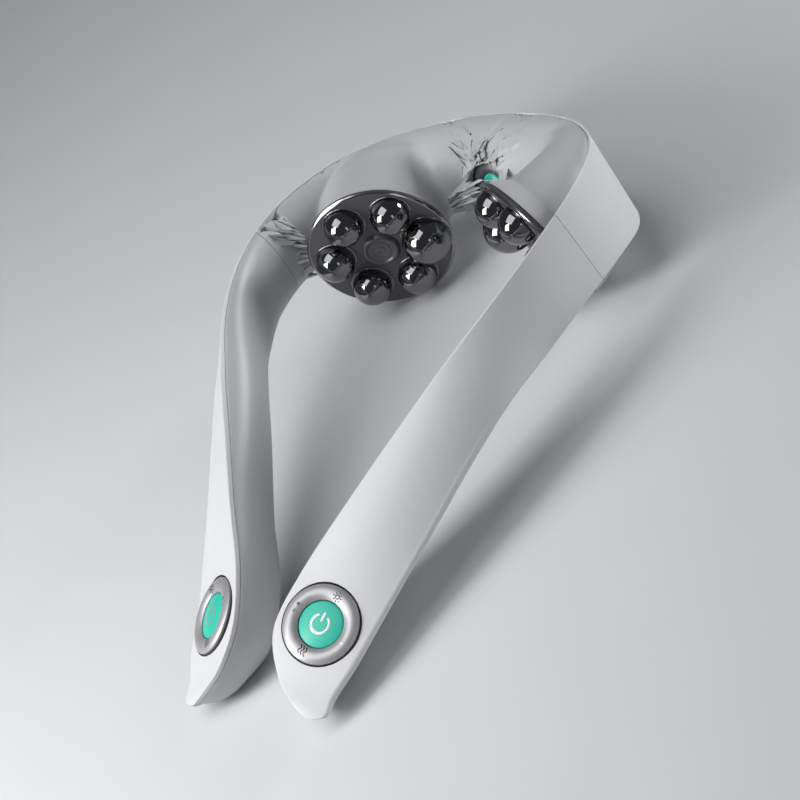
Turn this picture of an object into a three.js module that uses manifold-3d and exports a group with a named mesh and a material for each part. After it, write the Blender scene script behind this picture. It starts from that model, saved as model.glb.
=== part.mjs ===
// Shiatsu neck massager: a horseshoe band of white shells with two powered massage heads on its inner back
// and a control dial on the end of each arm.
// Millimetres, +Z up. The massager rests on the undersides of its two head housings and its two arm ends.

import * as THREE from 'three';
import { mergeVertices } from 'three/addons/utils/BufferGeometryUtils.js';
import Module from 'manifold-3d';

const wasm = await Module();
wasm.setup();

// ---------------------------------------------------------------- driving dimensions

const HEAD_DIAMETER = 79.2;
const HEAD_CENTRE = [55, -1.9, 3.3];   // of the right head, at the front of its housing
const HEAD_TOE_IN = 28.7;              // degrees by which each head faces the neck's middle
const DIAL_DIAMETER = 39;
const WALL = 2.2;
const FIT_GAP = 0.3;
const REST_TILT = 2.2;                 // degrees, design pose to resting pose, about X
const REST_HEIGHT = 36.55;             // resting plane below the band's own origin
const REST_SHIFT_Y = 103.9;            // the band's own origin ahead of the middle of the length

// The band is one closed section swept from the middle of the back (station 0) to the tip of an arm.
// Each station holds the two rims of the outer face, how far that face bows out, how deep the body is behind,
// where across the face it is deepest, the radius of the roll at the lower rim, and how the keel falls from
// that rim to its deepest place: 1 is a quarter ellipse, 2 a parabola that draws in from the rim at once.
function station(upper, lower, bow, depth, crest, roll, fall) {
  return { upper, lower, bow, depth, crest, roll, fall };
}

const STATIONS = [
  station([0, 67, 22.8], [0, 56.5, -27.5], 0, 26, 0.74, 1.5, 1),
  station([35, 64.5, 22.2], [35.5, 54, -28], 0, 24, 0.72, 1.5, 1),
  station([68, 53, 25.2], [71, 42.5, -25.5], 0, 17, 0.68, 1.5, 1),
  station([92.2, 30, 32.3], [97, 19.5, -16.5], 0, 10, 0.66, 1.5, 1),
  station([103.8, -5, 41], [107.5, -12, -4], 0, 8.5, 0.66, 1.5, 1),
  station([103, -42, 45.7], [107, -47, 3.3], 1, 9.5, 0.66, 2, 1),
  station([93.3, -77, 45.5], [100.5, -79, 5.5], 3, 13.5, 0.66, 2.5, 1),
  station([76.3, -112, 41], [96.5, -111, 10], 4.5, 22, 0.64, 3.5, 1.1),
  station([57.2, -147.5, 33.2], [87.9, -145.1, 7.6], 4.5, 27, 0.6, 3, 1.35),
  station([39.5, -181, 25.2], [76.9, -182, 1.4], 3.5, 29.5, 0.56, 2.5, 1.7),
  station([23, -212, 16.6], [65.4, -216.9, -5.4], 1.8, 32.6, 0.52, 2.5, 2),
  station([14.2, -239, 9.2], [57.3, -245.7, -9.7], 0.8, 31, 0.5, 2.5, 2),
  station([20, -258.5, -0.3], [50.8, -261.9, -12.7], 0.5, 21, 0.5, 2.5, 2),
  station([31, -270, -7.5], [48.7, -271.2, -14.6], 0.3, 11, 0.5, 1.5, 2),
  station([38.5, -274.5, -12.2], [42, -274.5, -13.6], 0, 3, 0.5, 0.5, 2),
];
const TIP_STATION = STATIONS.length - 1;
const SEAM_STATION = 4.5;              // where the arms join the back
const DIAL_STATION = 10.62;
const DIAL_ACROSS = 0.476;
const PORT_STATION = 11.2;
const PORT_ANGLE = 145;                // degrees round the keel from its outer flank

// Across the section.
const FACE_POINTS = 3;
const ROLL_POINTS = 2;
const KEEL_POINTS = 7;
const STATION_STEP = 0.45;

// Cover and keel shell part along a line this far behind the face.
const COVER_LIP = 3.8;
const SHELL_START = COVER_LIP + FIT_GAP;

// Massage head, measured from the front of its housing along the head's axis; behind the front is negative.
// The housing's sections are ellipses: half width, then height above and below the axis.
const HOUSING_FRONT = { wide: 38.6, above: 37.6, below: 40.6 };
const HOUSING_COLLAR = { wide: 34.5, above: 30, below: 40.6 };
const HOUSING_END = { wide: 32, above: 24.5, below: 16 };
const COLLAR_DEPTH = 9.5;
const HOUSING_DEPTH = 50;
const PLATE_RADIUS = HEAD_DIAMETER / 2 - 0.6;
const PLATE_BACK = 0.6;
const PLATE_THICKNESS = 3.2;
const PLATE_FRONT = PLATE_BACK + PLATE_THICKNESS;
const DOME_COUNT = 6;
const DOME_RING_RADIUS = 25.4;
const DOME_PHASE = { right: 182, left: 194.5 };  // degrees, the large dome's place round each head
const LARGE_DOME_RADIUS = 13.2;
const SMALL_DOME_RADIUS = 10.5;
const DOME_BASE = 1.4;
const HUB_RADIUS = 9.8;
const SPINDLE_RADIUS = 5;
const SPINDLE_BORE = SPINDLE_RADIUS + FIT_GAP;
const BUSH_RADIUS = 8;

// Gear train between motor and head.
const GEAR_MODULE = 0.75;
const HEAD_TEETH = 36;
const IDLER_SMALL_TEETH = 12;
const IDLER_LARGE_TEETH = 24;
const PINION_TEETH = 8;
const MOTOR_OFFSET = 16;
const MOTOR_RADIUS = 10;
const MOTOR_LENGTH = 20.5;
const HEAD_GEAR_TOP = -4;
const HEAD_GEAR_THICKNESS = 5;
const IDLER_LARGE_TOP = -10;
const GEAR_PLATE_TOP = -16.2;
const GEAR_PLATE_THICKNESS = 2;
const GEAR_PLATE_RADIUS = 25.5;
const GEAR_PLATE_POST_RADIUS = 3;

// Dial, measured from the face outwards.
const DIAL_RADIUS = DIAL_DIAMETER / 2;
const BUTTON_RADIUS = 11.4;
const RING_BORE = BUTTON_RADIUS + 0.5;
const GASKET_INNER = DIAL_RADIUS + FIT_GAP;
const GASKET_OUTER = GASKET_INNER + 0.5;

// Badge in the middle of the back.
const BADGE_RADIUS = 12.5;
const BADGE_LENS_RADIUS = 6;
const BADGE_CENTRE = [0, 39.3, -1];
const BADGE_LEAN = 25;                 // degrees that the badge looks up

// ---------------------------------------------------------------- materials

function plastic(color, roughness, metalness = 0) {
  return new THREE.MeshStandardMaterial({ color, roughness, metalness });
}

const PEARL_WHITE = plastic(0xe4e5e7, 0.4);
const SATIN_GREY = plastic(0xc9cacd, 0.45);
const GUNMETAL = plastic(0x46464a, 0.25, 0.7);
const CHROME = plastic(0x8d9093, 0.08, 1);
const SATIN_METAL = plastic(0xc6c7cb, 0.3, 0.6);
const TEAL = plastic(0x45c9ad, 0.35);
const BLACK_RUBBER = plastic(0x26272a, 0.8);
const GEAR_NYLON = plastic(0xe9e4d4, 0.5);
const STEEL = plastic(0xa9abae, 0.3, 1);
const BOARD_GREEN = plastic(0x2f6b45, 0.5);
const CELL_BLUE = plastic(0x3c6fa8, 0.5);
const INNER_BLACK = plastic(0x2d2d30, 0.6);

// ---------------------------------------------------------------- solids

function toSolid(geometry) {
  const plain = geometry.clone();
  plain.deleteAttribute('normal');
  plain.deleteAttribute('uv');
  const merged = mergeVertices(plain, 1e-4);
  const mesh = new wasm.Mesh({
    numProp: 3,
    vertProperties: new Float32Array(merged.attributes.position.array),
    triVerts: new Uint32Array(merged.index.array),
  });
  return new wasm.Manifold(mesh);
}

function toGeometry(solid) {
  const mesh = solid.getMesh();
  const geometry = new THREE.BufferGeometry();
  geometry.setAttribute('position', new THREE.BufferAttribute(new Float32Array(mesh.vertProperties), 3));
  geometry.setIndex(new THREE.BufferAttribute(new Uint32Array(mesh.triVerts), 1));
  geometry.computeVertexNormals();
  return geometry;
}

function placed(geometry, matrix) {
  return geometry.clone().applyMatrix4(matrix);
}

// Joins a stack of equal rings of points into one closed body, with a fan over each end.
function loft(rings) {
  const count = rings[0].length;
  const points = rings.flat();
  const first = new THREE.Vector3();
  const last = new THREE.Vector3();
  for (let i = 0; i < count; i++) {
    first.addScaledVector(rings[0][i], 1 / count);
    last.addScaledVector(rings[rings.length - 1][i], 1 / count);
  }
  const firstCentre = points.push(first) - 1;
  const lastCentre = points.push(last) - 1;
  const faces = [];
  for (let r = 0; r < rings.length - 1; r++) {
    for (let i = 0; i < count; i++) {
      const j = (i + 1) % count;
      const a = r * count + i;
      const b = r * count + j;
      faces.push(a, b, a + count, b, b + count, a + count);
    }
  }
  const lastRing = (rings.length - 1) * count;
  for (let i = 0; i < count; i++) {
    const j = (i + 1) % count;
    faces.push(firstCentre, j, i, lastCentre, lastRing + i, lastRing + j);
  }
  const geometry = new THREE.BufferGeometry().setFromPoints(points);
  geometry.setIndex(faces);
  if (volume(geometry) < 0) {
    faces.reverse();
    geometry.setIndex(faces);
  }
  return geometry;
}

function volume(geometry) {
  const position = geometry.attributes.position;
  const index = geometry.index.array;
  const [a, b, c] = [new THREE.Vector3(), new THREE.Vector3(), new THREE.Vector3()];
  let total = 0;
  for (let i = 0; i < index.length; i += 3) {
    a.fromBufferAttribute(position, index[i]);
    b.fromBufferAttribute(position, index[i + 1]);
    c.fromBufferAttribute(position, index[i + 2]);
    total += a.dot(b.cross(c)) / 6;
  }
  return total;
}

// A turned body about local Z: profile points are [radius, height], going round the section.
function turned(profile, segments = 32) {
  const outline = profile.map(([radius, height]) => new THREE.Vector2(radius, height));
  const geometry = new THREE.LatheGeometry(outline, segments);
  geometry.rotateX(Math.PI / 2);
  const solid = toSolid(geometry);
  return toGeometry(solid);
}

function disc(radius, bottom, top, segments = 32) {
  return turned([[0, bottom], [radius, bottom], [radius, top], [0, top]], segments);
}

function tube(inner, outer, bottom, top, segments = 32) {
  return turned([[inner, bottom], [outer, bottom], [outer, top], [inner, top], [inner, bottom]], segments);
}

function box(width, depth, height, x = 0, y = 0, z = 0) {
  return new THREE.BoxGeometry(width, depth, height).translate(x, y, z);
}

// ---------------------------------------------------------------- the band

function curveOf(value) {
  const side = STATIONS.slice(1).reverse().map((s) => value(s, -1));
  const other = STATIONS.map((s) => value(s, 1));
  return new THREE.CatmullRomCurve3([...side, ...other], false, 'catmullrom', 0.5);
}

const upperRim = curveOf(({ upper: [x, y, z] }, side) => new THREE.Vector3(side * x, y, z));
const lowerRim = curveOf(({ lower: [x, y, z] }, side) => new THREE.Vector3(side * x, y, z));
const shapeCurve = curveOf((s) => new THREE.Vector3(s.bow, s.depth, s.crest));
const rimCurve = curveOf((s) => new THREE.Vector3(s.roll, s.fall, 0));

function curvePoint(curve, station) {
  return curve.getPoint((station + TIP_STATION) / (2 * TIP_STATION));
}

// The section's own frame at a station: across runs from upper rim to lower, inward goes into the body.
function sectionAt(station) {
  const nudge = 0.02;
  const back = Math.max(station - nudge, -TIP_STATION);
  const ahead = Math.min(station + nudge, TIP_STATION);
  const middle = (at) => curvePoint(upperRim, at).add(curvePoint(lowerRim, at)).multiplyScalar(0.5);
  const along = middle(ahead).sub(middle(back)).normalize();
  const origin = curvePoint(upperRim, station);
  const across = curvePoint(lowerRim, station).sub(origin);
  const width = across.length();
  across.normalize();
  const inward = new THREE.Vector3().crossVectors(across, along).normalize();
  const shape = curvePoint(shapeCurve, station);
  const rim = curvePoint(rimCurve, station);
  const outline = { bow: shape.x, depth: shape.y, crest: shape.z, roll: rim.x, fall: rim.y };
  return { origin, across, inward, along, width, ...outline };
}

function sectionPoint(section, s, d) {
  return section.origin.clone().addScaledVector(section.across, s).addScaledVector(section.inward, d);
}

function faceLevel(section, s) {
  const t = s / section.width;
  return -4 * section.bow * t * (1 - t);
}

// The body's outline at a station, drawn in by an inset: the bowed face, the roll, then the keel.
function bodyOutline(section, inset) {
  const { width, depth, crest, roll, fall } = section;
  const points = [];
  const corner = Math.max(roll - inset, 0.2);
  const crestAt = crest * width;
  const keelDepth = depth - inset;
  const start = inset > 0 ? Math.asin(Math.min(0.9, (1.2 * inset) / keelDepth)) : 0;
  const near = inset + (crestAt - inset) * (1 - Math.cos(start));
  const far = width - inset;
  for (let i = 0; i < FACE_POINTS; i++) {
    const s = near + (far - corner - near) * (i / (FACE_POINTS - 1));
    points.push([s, faceLevel(section, s) + inset]);
  }
  const rollTop = faceLevel(section, far - corner) + inset;
  for (let i = 1; i <= ROLL_POINTS; i++) {
    const angle = (Math.PI / 2) * (i / ROLL_POINTS);
    points.push([far - corner + corner * Math.sin(angle), rollTop + corner * (1 - Math.cos(angle))]);
  }
  const rollEnd = rollTop + corner;
  for (let i = 1; i <= KEEL_POINTS; i++) {
    const angle = (Math.PI - start) * (i / KEEL_POINTS);
    if (angle <= Math.PI / 2) {
      const s = crestAt + (far - crestAt) * Math.cos(angle);
      points.push([s, rollEnd + (keelDepth - rollEnd) * Math.sin(angle) ** fall]);
    } else if (i < KEEL_POINTS || inset > 0) {
      points.push([crestAt + (crestAt - inset) * Math.cos(angle), keelDepth * Math.sin(angle)]);
    }
  }
  return points;
}

// Lofts an outline from one station to another, with a ring at each whole step between.
function sweep(from, to, outline) {
  const closest = 0.1;
  const stations = [from];
  for (let i = Math.ceil((from + closest) / STATION_STEP); i * STATION_STEP < to - closest; i++) {
    stations.push(i * STATION_STEP);
  }
  stations.push(to);
  const rings = stations.map((station) => {
    const section = sectionAt(station);
    return outline(section).map(([s, d]) => sectionPoint(section, s, d));
  });
  return toSolid(loft(rings));
}

function bodySweep(from, to, inset = 0) {
  return sweep(from, to, (section) => bodyOutline(section, inset));
}

// The main body of a solid, without the crumbs that a cut leaves beside it.
function largest(solid) {
  return solid.decompose().sort((a, b) => b.volume() - a.volume())[0];
}

// Everything between two depths behind the face, wider than the body.
function layer(from, to, shallow, deep) {
  const margin = 8;
  return sweep(from, to, (section) => {
    const points = [];
    for (let i = 0; i <= FACE_POINTS; i++) {
      const s = -margin + (section.width + 2 * margin) * (i / FACE_POINTS);
      const inside = Math.min(Math.max(s, 0), section.width);
      points.push([s, faceLevel(section, inside)]);
    }
    const deeper = points.map(([s, level]) => [s, level + deep]).reverse();
    return [...points.map(([s, level]) => [s, level + shallow]), ...deeper];
  });
}

const restTilt = new THREE.Matrix4().makeRotationX(THREE.MathUtils.degToRad(REST_TILT));

// The floor that the massager rests on, as a block in the design pose.
function floorBlock() {
  const block = box(400, 500, 40, 0, -100, -REST_HEIGHT - 20);
  return toSolid(placed(block, restTilt.clone().invert()));
}

// ---------------------------------------------------------------- head frame

const toeIn = THREE.MathUtils.degToRad(HEAD_TOE_IN);
const headAxis = new THREE.Vector3(-Math.sin(toeIn), -Math.cos(toeIn), 0);
const headUp = new THREE.Vector3(0, 0, 1);
const headSide = new THREE.Vector3().crossVectors(headUp, headAxis);
const headFrame = new THREE.Matrix4().makeBasis(headSide, headUp, headAxis).setPosition(...HEAD_CENTRE);
const mirrorX = new THREE.Matrix4().makeScale(-1, 1, 1);

function mirrored(geometry) {
  const copy = placed(geometry, mirrorX);
  const index = copy.index.array;
  for (let i = 0; i < index.length; i += 3) {
    [index[i], index[i + 1]] = [index[i + 1], index[i]];
  }
  return copy;
}

// The housing's half width and its heights above and below the axis, at a depth behind its front.
function housingSection(depth) {
  const reach = Math.max(0, (depth - COLLAR_DEPTH) / (HOUSING_DEPTH - COLLAR_DEPTH));
  const ease = (1 - Math.cos(Math.PI * reach)) / 2;
  const collar = Math.min(1, depth / COLLAR_DEPTH);
  const along = (key, end) => THREE.MathUtils.lerp(
    THREE.MathUtils.lerp(HOUSING_FRONT[key], HOUSING_COLLAR[key], collar), HOUSING_END[key], end);
  return { wide: along("wide", reach), above: along("above", reach), below: along("below", ease) };
}

// The head's housing: a round collar, drawing in above, then a longer draw to the band behind it.
function housing(inset, front) {
  const rings = [];
  const count = 28;
  const steps = 4;
  const depths = [front, COLLAR_DEPTH];
  for (let i = 1; i <= steps; i++) {
    depths.push(COLLAR_DEPTH + (HOUSING_DEPTH - COLLAR_DEPTH) * (i / steps));
  }
  for (const depth of depths) {
    const { wide, above, below } = housingSection(depth);
    const high = (above + below) / 2;
    const ring = [];
    for (let i = 0; i < count; i++) {
      const angle = (2 * Math.PI * i) / count;
      const x = (wide - inset) * Math.cos(angle);
      const y = (high - inset) * Math.sin(angle) + above - high;
      ring.push(new THREE.Vector3(x, y, -depth));
    }
    rings.push(ring);
  }
  return placed(loft(rings), headFrame);
}

// ---------------------------------------------------------------- shells of the back

function backShells() {
  const seam = SEAM_STATION - 0.01;
  const beyond = SEAM_STATION + 0.15;
  const body = bodySweep(-seam, seam);
  const cavity = bodySweep(-beyond, beyond, WALL);
  const cover = body.intersect(layer(-beyond, beyond, -6, COVER_LIP)).subtract(cavity);

  const outside = layer(-beyond, beyond, -45, SHELL_START);
  const right = housing(0, 0);
  const rightInside = housing(WALL, WALL);
  const bushHole = placed(disc(BUSH_RADIUS + FIT_GAP, -WALL - 1, 1), headFrame);
  let shell = body.add(toSolid(right)).add(toSolid(mirrored(right)));
  shell = shell.subtract(outside).subtract(cavity);
  for (const hollow of [rightInside, bushHole]) {
    shell = shell.subtract(toSolid(hollow)).subtract(toSolid(mirrored(hollow)));
  }
  shell = largest(shell.subtract(floorBlock()).subtract(badgeSeat()));
  return { cover, shell };
}

// ---------------------------------------------------------------- shells of an arm

function dialFrame() {
  const section = sectionAt(DIAL_STATION);
  const s = DIAL_ACROSS * section.width;
  const centre = sectionPoint(section, s, faceLevel(section, s));
  const outward = section.inward.clone().negate();
  const side = section.across.clone();
  const ahead = new THREE.Vector3().crossVectors(outward, side);
  return new THREE.Matrix4().makeBasis(side, ahead, outward).setPosition(centre);
}

const dialPlace = dialFrame();

// On the flank of the right arm's keel that faces the other arm.
function portFrame() {
  const { crest, width, depth, across, inward, along, ...section } = sectionAt(PORT_STATION);
  const angle = THREE.MathUtils.degToRad(PORT_ANGLE);
  const crestAt = crest * width;
  const s = crestAt * (1 + Math.cos(angle));
  const place = sectionPoint({ across, inward, ...section }, s, depth * Math.sin(angle));
  const outward = across.clone().multiplyScalar(Math.cos(angle) / crestAt);
  outward.addScaledVector(inward, Math.sin(angle) / depth).normalize();
  const side = along.clone().addScaledVector(outward, -along.dot(outward)).normalize();
  const ahead = new THREE.Vector3().crossVectors(outward, side);
  return new THREE.Matrix4().makeBasis(side, ahead, outward).setPosition(place);
}

const portPlace = portFrame();

function armShells(withPort) {
  const start = SEAM_STATION + 0.01;
  const before = SEAM_STATION - 0.15;
  const body = bodySweep(start, TIP_STATION);
  const cavity = bodySweep(before, TIP_STATION - 1, WALL);
  const dialHole = toSolid(placed(disc(GASKET_OUTER + FIT_GAP, -9, 4, 30), dialPlace));
  const cover = body.intersect(layer(before, TIP_STATION, -6, COVER_LIP)).subtract(cavity).subtract(dialHole);
  const face = layer(before, TIP_STATION, -12, SHELL_START);
  let keel = body.subtract(face).subtract(cavity).subtract(floorBlock());
  keel = keel.subtract(dialHole);
  if (withPort) {
    keel = keel.subtract(toSolid(placed(box(9.8, 4, 16), portPlace)));
  }
  return { cover: largest(cover), keel: largest(keel) };
}

// ---------------------------------------------------------------- massage head

function dome(radius) {
  const profile = [[0, 0], [radius, 0]];
  const arcSteps = 3;
  for (let i = 0; i <= arcSteps; i++) {
    const angle = (Math.PI / 2) * (i / arcSteps);
    profile.push([i === arcSteps ? 0 : radius * Math.cos(angle), DOME_BASE + radius * Math.sin(angle)]);
  }
  return turned(profile, 14);
}

function headPlate() {
  const bevel = 1;
  return turned([
    [SPINDLE_BORE, PLATE_BACK],
    [PLATE_RADIUS - bevel, PLATE_BACK],
    [PLATE_RADIUS, PLATE_BACK + bevel],
    [PLATE_RADIUS, PLATE_FRONT - bevel],
    [PLATE_RADIUS - bevel, PLATE_FRONT],
    [SPINDLE_BORE, PLATE_FRONT],
    [SPINDLE_BORE, PLATE_BACK],
  ], 36);
}

function hubCap() {
  const bottom = PLATE_FRONT + FIT_GAP;
  return turned([
    [0, bottom], [HUB_RADIUS, bottom], [HUB_RADIUS - 0.6, bottom + 2], [HUB_RADIUS - 2, bottom + 2],
    [HUB_RADIUS - 2.4, bottom + 1.2], [0, bottom + 1.2],
  ], 20);
}

// Straight-sided teeth with running clearance; a tooth, or a gap, is centred on the given direction.
function gear(teeth, bore, top, thickness, direction, gapThere = false) {
  const pitchRadius = (GEAR_MODULE * teeth) / 2;
  const root = pitchRadius - 1.25 * GEAR_MODULE;
  const tip = pitchRadius + 0.8 * GEAR_MODULE;
  const pitch = (2 * Math.PI) / teeth;
  const shape = new THREE.Shape();
  const corners = [[-0.3, root], [-0.12, tip], [0.12, tip], [0.3, root]];
  for (let tooth = 0; tooth < teeth; tooth++) {
    for (const [part, radius] of corners) {
      const angle = direction + pitch * (tooth + part + (gapThere ? 0.5 : 0));
      const [x, y] = [radius * Math.cos(angle), radius * Math.sin(angle)];
      if (tooth === 0 && part === corners[0][0]) {
        shape.moveTo(x, y);
      } else {
        shape.lineTo(x, y);
      }
    }
  }
  const hole = new THREE.Path().absarc(0, 0, bore, 0, 2 * Math.PI, true);
  shape.holes.push(hole);
  const options = { depth: thickness, bevelEnabled: false, curveSegments: 7 };
  return new THREE.ExtrudeGeometry(shape, options).translate(0, 0, top - thickness);
}

// Where the idler's axle stands, from the two centre distances and the motor on the head's level.
const headToIdler = (GEAR_MODULE * (HEAD_TEETH + IDLER_SMALL_TEETH)) / 2;
const idlerToMotor = (GEAR_MODULE * (IDLER_LARGE_TEETH + PINION_TEETH)) / 2;
const idlerX = -(headToIdler ** 2 - idlerToMotor ** 2 + MOTOR_OFFSET ** 2) / (2 * MOTOR_OFFSET);
const idlerY = Math.sqrt(headToIdler ** 2 - idlerX ** 2);
const headToIdlerAngle = Math.atan2(idlerY, idlerX);
const idlerToMotorAngle = Math.atan2(-idlerY, -MOTOR_OFFSET - idlerX);
const AXLE_RADIUS = 1.5;
const MOTOR_SHAFT_RADIUS = 1.1;

function idlerGear() {
  const bore = AXLE_RADIUS + FIT_GAP;
  const smallTop = HEAD_GEAR_TOP + 0.2;
  const smallThickness = smallTop - IDLER_LARGE_TOP;
  const small = gear(IDLER_SMALL_TEETH, bore, smallTop, smallThickness, headToIdlerAngle + Math.PI, true);
  const large = gear(IDLER_LARGE_TEETH, bore, IDLER_LARGE_TOP, 4, idlerToMotorAngle);
  return toGeometry(toSolid(small).add(toSolid(large))).translate(idlerX, idlerY, 0);
}

function motorPinion() {
  const shaftEnd = GEAR_PLATE_TOP - GEAR_PLATE_THICKNESS - 2;
  const bore = MOTOR_SHAFT_RADIUS - 0.2;
  const teeth = gear(PINION_TEETH, bore, IDLER_LARGE_TOP + 0.5, 5, idlerToMotorAngle + Math.PI, true);
  const shaft = disc(MOTOR_SHAFT_RADIUS, shaftEnd, IDLER_LARGE_TOP + 0.2, 10);
  return toGeometry(toSolid(teeth).add(toSolid(shaft))).translate(-MOTOR_OFFSET, 0, 0);
}

function gearPlate() {
  const bottom = GEAR_PLATE_TOP - GEAR_PLATE_THICKNESS;
  const posts = [-30, 60, 240];
  const postCircle = GEAR_PLATE_RADIUS - GEAR_PLATE_POST_RADIUS;
  let plate = toSolid(disc(GEAR_PLATE_RADIUS, bottom, GEAR_PLATE_TOP, 28));
  for (const degrees of posts) {
    const angle = THREE.MathUtils.degToRad(degrees);
    const post = disc(GEAR_PLATE_POST_RADIUS, bottom + 0.5, -WALL - FIT_GAP, 10);
    post.translate(postCircle * Math.cos(angle), postCircle * Math.sin(angle), 0);
    plate = plate.add(toSolid(post));
  }
  const through = [bottom - 1, GEAR_PLATE_TOP + 1];
  plate = plate.subtract(toSolid(disc(SPINDLE_BORE, ...through, 20)));
  plate = plate.subtract(toSolid(disc(AXLE_RADIUS + FIT_GAP, ...through, 12).translate(idlerX, idlerY, 0)));
  plate = plate.subtract(toSolid(disc(3, ...through, 12).translate(-MOTOR_OFFSET, 0, 0)));
  return toGeometry(plate);
}

function driveMotor() {
  const top = GEAR_PLATE_TOP - GEAR_PLATE_THICKNESS - FIT_GAP;
  const can = toSolid(turned([
    [0, top - MOTOR_LENGTH], [MOTOR_RADIUS - 1, top - MOTOR_LENGTH], [MOTOR_RADIUS, top - MOTOR_LENGTH + 1],
    [MOTOR_RADIUS, top], [0, top],
  ], 20));
  const socket = toSolid(disc(MOTOR_SHAFT_RADIUS + FIT_GAP, top - 3, top + 1, 10));
  return toGeometry(can.subtract(socket)).translate(-MOTOR_OFFSET, 0, 0);
}

// ---------------------------------------------------------------- dial

function dialRing() {
  const inner = RING_BORE;
  const outer = DIAL_RADIUS;
  return turned([
    [inner, -2.4], [outer, -2.4], [outer, 0.2], [outer - 1.2, 1.3], [(inner + outer) / 2, 2],
    [inner + 0.9, 1.1], [inner, -2.4],
  ], 30);
}

function centreButton() {
  const profile = [[0, -3.2], [BUTTON_RADIUS - 0.8, -3.2], [BUTTON_RADIUS, -2.6], [BUTTON_RADIUS, 0]];
  for (const [part, height] of [[0.9, 0.5], [0.6, 1.05], [0.3, 1.35]]) {
    profile.push([BUTTON_RADIUS * part, height]);
  }
  profile.push([0, 1.45]);
  return turned(profile, 24);
}

function switchBoard() {
  const board = toSolid(disc(17, -7.2, -5.6, 32));
  const dome = toSolid(disc(3, -5.8, -4.5, 16));
  return toGeometry(board.add(dome));
}

// ---------------------------------------------------------------- badge

const lean = THREE.MathUtils.degToRad(BADGE_LEAN);
const badgeOut = new THREE.Vector3(0, -Math.cos(lean), Math.sin(lean));
const badgeSide = new THREE.Vector3(1, 0, 0);
const badgeUp = new THREE.Vector3().crossVectors(badgeOut, badgeSide);
const badgePlace = new THREE.Matrix4().makeBasis(badgeSide, badgeUp, badgeOut).setPosition(...BADGE_CENTRE);

function badgeSeat() {
  return toSolid(placed(disc(BADGE_RADIUS + FIT_GAP, -3, 6, 36), badgePlace));
}

// ---------------------------------------------------------------- inside the arms

// A solid that follows the band's cavity between two stations, kept clear of its walls.
function liner(from, to, clearance) {
  return toGeometry(bodySweep(from, to, WALL + clearance));
}

// A round cell along the arm: centred across the cavity at its two ends.
function cellFrame(station) {
  const section = sectionAt(station);
  const centre = sectionPoint(section, section.width * 0.5, section.depth * 0.47);
  const ahead = sectionAt(station + 0.5);
  const next = sectionPoint(ahead, ahead.width * 0.5, ahead.depth * 0.47);
  const axis = next.sub(centre).normalize();
  const side = section.across.clone().addScaledVector(axis, -section.across.dot(axis)).normalize();
  const other = new THREE.Vector3().crossVectors(axis, side);
  return new THREE.Matrix4().makeBasis(side, other, axis).setPosition(centre);
}

// ---------------------------------------------------------------- assembly

const massager = new THREE.Group();
massager.rotation.x = THREE.MathUtils.degToRad(REST_TILT);
massager.position.set(0, REST_SHIFT_Y, REST_HEIGHT);

function addPiece(name, geometry, material, matrix = new THREE.Matrix4()) {
  const mesh = new THREE.Mesh(geometry, material);
  mesh.name = name;
  mesh.applyMatrix4(matrix);
  massager.add(mesh);
}

// Adds a piece to one side: as it is on the right, as its mirror image on the left.
function addSide(side, name, geometry, material, matrix = new THREE.Matrix4()) {
  const solid = geometry.index ? geometry : toGeometry(toSolid(geometry));
  if (side === 'right') {
    addPiece(`right_${name}`, solid, material, matrix);
  } else {
    const across = mirrorX.clone().multiply(matrix).multiply(mirrorX);
    addPiece(`left_${name}`, mirrored(solid), material, across);
  }
}

function addPair(name, geometry, material, matrix) {
  addSide('right', name, geometry, material, matrix);
  addSide('left', name, geometry, material, matrix);
}

const back = backShells();
addPiece('back_cover', toGeometry(back.cover), PEARL_WHITE);
addPiece('back_inner_shell', toGeometry(back.shell), SATIN_GREY);

const rightArm = armShells(true);
const leftArm = armShells(false);
addPair('arm_cover', toGeometry(rightArm.cover), PEARL_WHITE);
addPiece('right_arm_keel_shell', toGeometry(rightArm.keel), SATIN_GREY);
addPiece('left_arm_keel_shell', mirrored(toGeometry(leftArm.keel)), SATIN_GREY);

addPair('head_plate', headPlate(), GUNMETAL, headFrame);
for (const [side, phase] of Object.entries(DOME_PHASE)) {
  for (let i = 0; i < DOME_COUNT; i++) {
    const angle = THREE.MathUtils.degToRad(phase + (360 / DOME_COUNT) * i);
    const [x, y] = [DOME_RING_RADIUS * Math.cos(angle), DOME_RING_RADIUS * Math.sin(angle)];
    const seat = new THREE.Matrix4().makeTranslation(x, y, PLATE_FRONT + FIT_GAP);
    const radius = i === 0 ? LARGE_DOME_RADIUS : SMALL_DOME_RADIUS;
    addSide(side, `massage_dome_${i + 1}`, dome(radius), CHROME, headFrame.clone().multiply(seat));
  }
}
addPair('hub_cap', hubCap(), GUNMETAL, headFrame);
addPair('head_spindle', disc(SPINDLE_RADIUS, -20, PLATE_FRONT - 0.2, 24), STEEL, headFrame);
addPair('spindle_bush', tube(SPINDLE_BORE, BUSH_RADIUS, -WALL - 0.6, 0, 20), INNER_BLACK, headFrame);
addPair('head_gear', gear(HEAD_TEETH, SPINDLE_BORE, HEAD_GEAR_TOP, HEAD_GEAR_THICKNESS, headToIdlerAngle),
  GEAR_NYLON, headFrame);
addPair('idler_gear', idlerGear(), GEAR_NYLON, headFrame);
const axle = disc(AXLE_RADIUS, GEAR_PLATE_TOP - GEAR_PLATE_THICKNESS, HEAD_GEAR_TOP + 0.6, 16);
addPair('idler_axle', axle.translate(idlerX, idlerY, 0), STEEL, headFrame);
addPair('motor_pinion', motorPinion(), STEEL, headFrame);
addPair('gear_plate', gearPlate(), INNER_BLACK, headFrame);
addPair('drive_motor', driveMotor(), STEEL, headFrame);

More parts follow.
